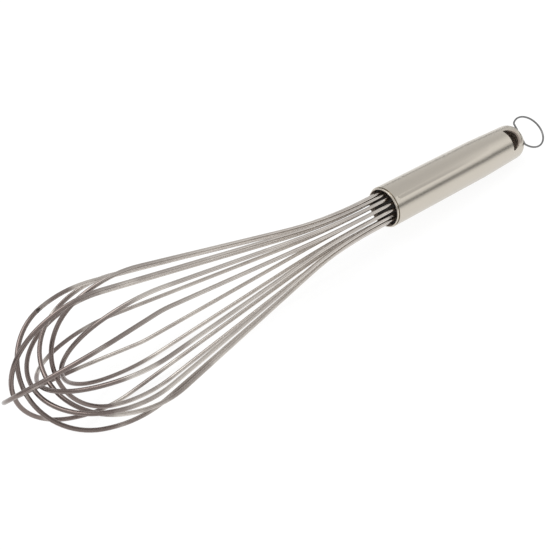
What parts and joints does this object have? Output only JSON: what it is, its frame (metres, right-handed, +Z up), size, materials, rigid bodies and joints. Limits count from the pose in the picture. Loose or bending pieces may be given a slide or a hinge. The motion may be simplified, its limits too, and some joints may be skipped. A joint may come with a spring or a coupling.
{
  "type": "balloon whisk",
  "caption": "Balloon wire whisk: nested steel wire loops clamped in a steel tube handle with a domed, slotted end and a hinged hanging ring.",
  "frame": {"origin": "centre of the whole object's box in X and Y, at the level of the surface it lies on", "axes": "+X along the whisk from the cage to the handle, +Z up, +Y to the left when looking along +X"},
  "size_m": [0.377, 0.075, 0.0757],
  "materials": {
    "handle_steel": "satin tube, brushed round",
    "wire_steel": "drawn spring wire, polished",
    "ring_steel": "dull drawn wire",
    "core_plastic": "moulded, dark"
  },
  "bodies": {
    "whisk": {"handle": "handle_steel", "wire_core": "core_plastic", "wire_1": "wire_steel", "wire_2": "wire_steel", "wire_3": "wire_steel", "wire_4": "wire_steel", "wire_5": "wire_steel", "wire_6": "wire_steel", "wire_7": "wire_steel", "wire_8": "wire_steel"},
    "ring": {"hanging_ring": "ring_steel"}
  },
  "joints": [
    {"name": "ring_swing", "type": "hinge", "parent": "whisk", "child": "ring", "pos_m": [0.16775, -0.00509, 0.0197], "axis": [0.2254, 0.8673, 0.4438], "range_deg": [-155, 65]}
  ]
}
